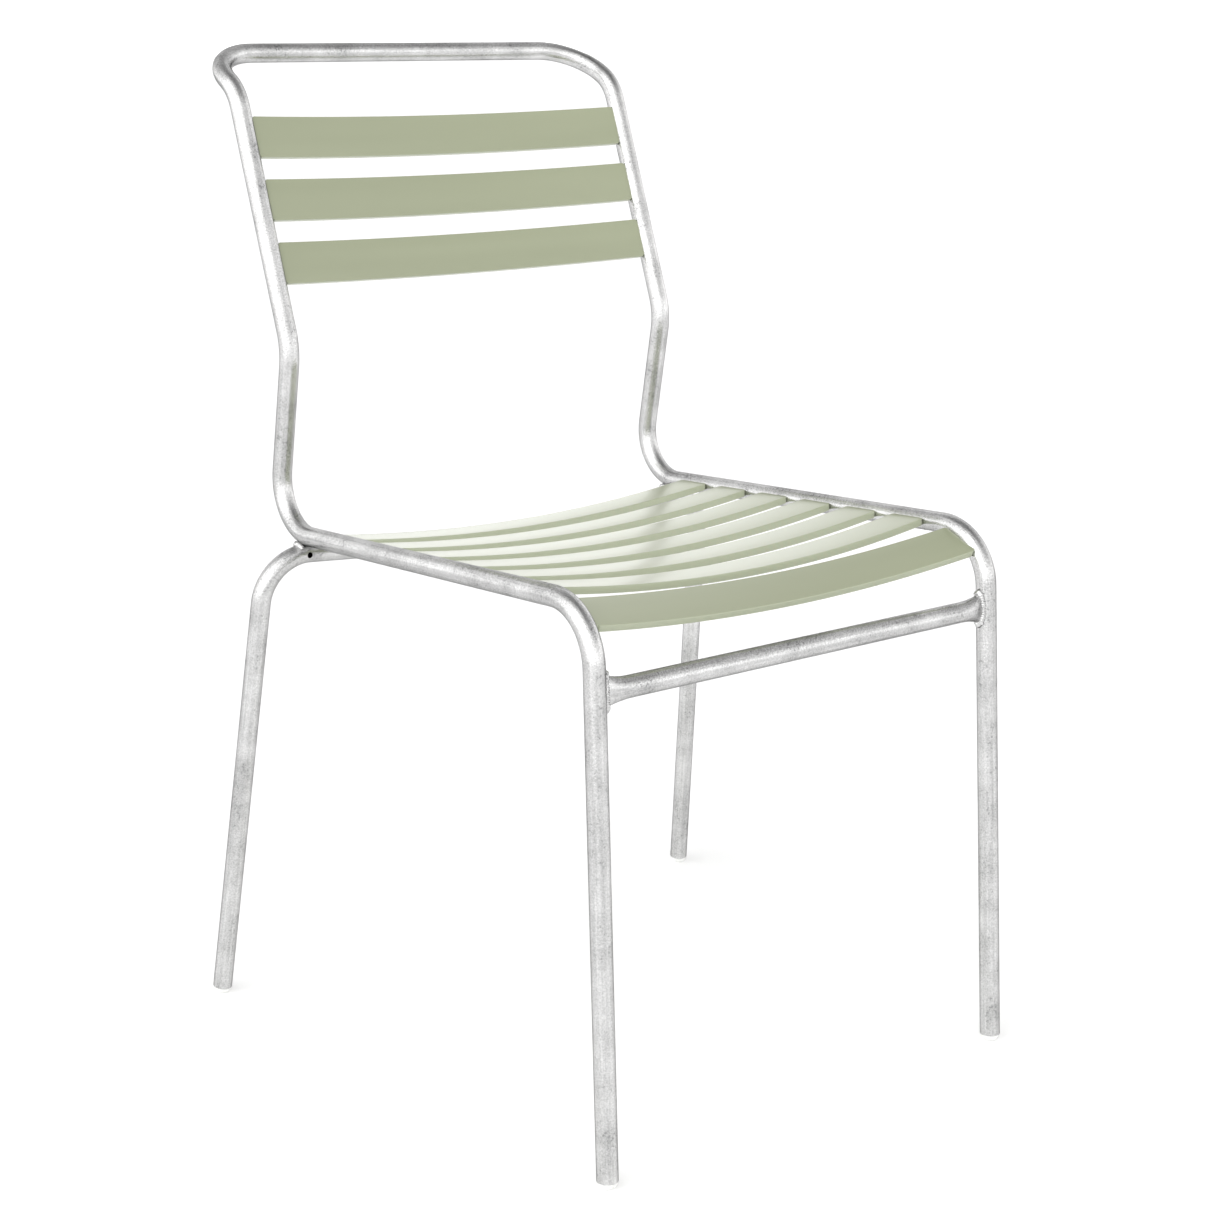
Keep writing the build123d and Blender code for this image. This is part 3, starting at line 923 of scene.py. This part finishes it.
def rearSeams(side):
    # two short arcs round the loop, one on each side of the rail, thin at their ends
    railX, runY, runZ = crossRunPoint(seatHalfWidth)
    radius = tubeDiameter / 2 + weldSettings["rearLift"]
    tipScale = weldSettings["rearTip"]
    offsets = (-weldSettings["rearOffset"], weldSettings["rearOffset"])
    runs, scales = [], []
    for offset, drop in zip(offsets, weldSettings["rearDrops"]):
        run = []
        for count in range(2 * weldSettings["rearSteps"] + 1):
            share = count / weldSettings["rearSteps"] - 1
            angle = radians(weldSettings["rearWrap"] * share)
            y = runY + radius * sin(angle)
            z = runZ - drop + radius * cos(angle)
            run.append((side * (railX + offset) * mm, y * mm, z * mm))
            fullness = sqrt(1 - abs(share) ** weldSettings["rearTaper"])
            scales.append(tipScale + (1 - tipScale) * fullness)
        runs.append(run)
    return runs, scales


for sideName, side in (("left", -1), ("right", 1)):
    seam, seamScales = crossbarSeam(side)
    layBead(
        f"crossbarWeld{sideName.title()}", weldSettings["crossbarBead"], [seam], seamScales,
        weldSettings["crossbarSeed"] + side, f"crossbar_weld_{sideName}",
    )
    seams, seamScales = rearSeams(side)
    layBead(
        f"rearWeld{sideName.title()}", weldSettings["rearBead"], seams, seamScales,
        weldSettings["rearSeed"] + side, f"rear_weld_{sideName}",
    )
print("welds made")

for nodeName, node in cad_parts.items():
    if nodeName.startswith("foot_glide"):
        for slot in node.material_slots:
            slot.material = glidePlastic
        if not node.material_slots:
            node.data.materials.append(glidePlastic)
print("glides painted")


# studio: white floor that runs to the horizon, a light tent that is darker overhead, and one soft light

floorSettings = {"size": 400.0, "white": 0.9, "roughness": 0.9, "glow": 0.12}  # size in metres


def makeFloor(settings):
    edge = settings["size"] / 2
    corners = [(-edge, -edge, 0), (edge, -edge, 0), (edge, edge, 0), (-edge, edge, 0)]
    mesh = bpy.data.meshes.new("floor")
    mesh.from_pydata(corners, [], [(0, 1, 2, 3)])
    floor = bpy.data.objects.new("floor", mesh)
    scene.collection.objects.link(floor)
    material, tree, shader = newMaterial("floorPaper")
    setNumbers(shader, {
        "Base Color": grey(settings["white"]),
        "Roughness": settings["roughness"],
        "Emission Color": grey(1.0),
        "Emission Strength": settings["glow"],
    })
    mesh.materials.append(material)


tentSettings = {
    "lowGlow": 1.6,                # the tent's walls at the horizon
    "topGlow": 0.22,               # and overhead
    "wallRange": (0.1, 0.95),      # they darken between these heights; 1 is overhead
    "backGlow": 1.25,              # the wall behind the chair is this much brighter
    "backWay": (0.6, 0.8),         # x and y of the way to that wall
    "backRange": (0.3, 0.8),       # from beside it to well inside it
    "sideGlow": 2.35,              # the bright panel at the chair's left
    "sideTurn": 15.0,              # its middle is this far forward of the left
    "sideElevation": 20.0,
    "sideRange": (0.1, 0.95),      # its light fades in between these, from far off its middle to near it
    "sideFade": 2.2,
}


def makeTent(settings):
    world = bpy.data.worlds.new("lightTent")
    scene.world = world
    world.use_nodes = True
    tree = world.node_tree
    direction = addNode(tree, "ShaderNodeTexCoord").outputs["Generated"]
    across, back, height = splitVector(tree, direction)
    wall = mapRange(tree, height, settings["wallRange"], settings["lowGlow"], settings["topGlow"])
    backX, backY = settings["backWay"]
    behind = maths(tree, "MULTIPLY_ADD", across, backX, maths(tree, "MULTIPLY", back, backY))
    brighter = mapRange(tree, behind, settings["backRange"], 1.0, settings["backGlow"], "SMOOTHSTEP")
    wall = maths(tree, "MULTIPLY", wall, brighter)
    turn, elevation = (radians(settings[key]) for key in ("sideTurn", "sideElevation"))
    sideWay = (-cos(turn) * cos(elevation), -sin(turn) * cos(elevation), sin(elevation))
    towardSide = addNode(
        tree, "ShaderNodeVectorMath", {0: direction, 1: sideWay}, operation="DOT_PRODUCT"
    ).outputs["Value"]
    nearness = mapRange(tree, towardSide, settings["sideRange"], 0.0, 1.0)
    share = maths(tree, "POWER", nearness, settings["sideFade"])
    shade = mapRange(tree, share, (0.0, 1.0), wall, settings["sideGlow"])
    glow = addNode(tree, "ShaderNodeCombineColor", {0: shade, 1: shade, 2: shade}).outputs[0]
    tree.links.new(glow, tree.nodes["Background"].inputs["Color"])


topLightSettings = {               # in metres and watts
    "place": (-0.3, -0.6, 3.2),
    "target": (0.0, 0.0, 0.45),
    "size": 1.6,
    "power": 12.0,
}


def makeTopLight(settings):
    # a square soft box that isn't mirrored in the steel
    lamp = bpy.data.lights.new("topLight", "AREA")
    lamp.size = settings["size"]
    lamp.energy = settings["power"]
    holder = bpy.data.objects.new("topLight", lamp)
    place = Vector(settings["place"])
    holder.location = place
    holder.rotation_euler = (Vector(settings["target"]) - place).to_track_quat("-Z", "Y").to_euler()
    holder.visible_glossy = False
    scene.collection.objects.link(holder)


cameraSettings = {
    "place": (-1148.88, -1496.9, 846.72),
    "azimuth": -36.718,
    "elevation": 12.527,
    "roll": -0.348,
    "sensorWidth": 36.0,
    "lens": 65.373,
    "shift": (0.0369, -0.0591),
}


def makeCamera(settings):
    azimuth, elevation, roll = (radians(settings[key]) for key in ("azimuth", "elevation", "roll"))
    back = Vector((sin(azimuth) * cos(elevation), -cos(azimuth) * cos(elevation), sin(elevation)))
    level = (-back).cross(Vector((0, 0, 1))).normalized()
    up = level.cross(-back)
    right = level * cos(roll) + up * sin(roll)
    up = up * cos(roll) - level * sin(roll)
    turn = Matrix((right, up, back)).transposed().to_4x4()
    lens = bpy.data.cameras.new("camera")
    lens.sensor_width = settings["sensorWidth"]
    lens.lens = settings["lens"]
    lens.shift_x, lens.shift_y = settings["shift"]
    camera = bpy.data.objects.new("camera", lens)
    camera.matrix_world = Matrix.Translation([value * mm for value in settings["place"]]) @ turn
    scene.collection.objects.link(camera)
    scene.camera = camera


makeFloor(floorSettings)
makeTent(tentSettings)
makeTopLight(topLightSettings)
makeCamera(cameraSettings)
scene.view_settings.view_transform = "Standard"
print("studio ready")
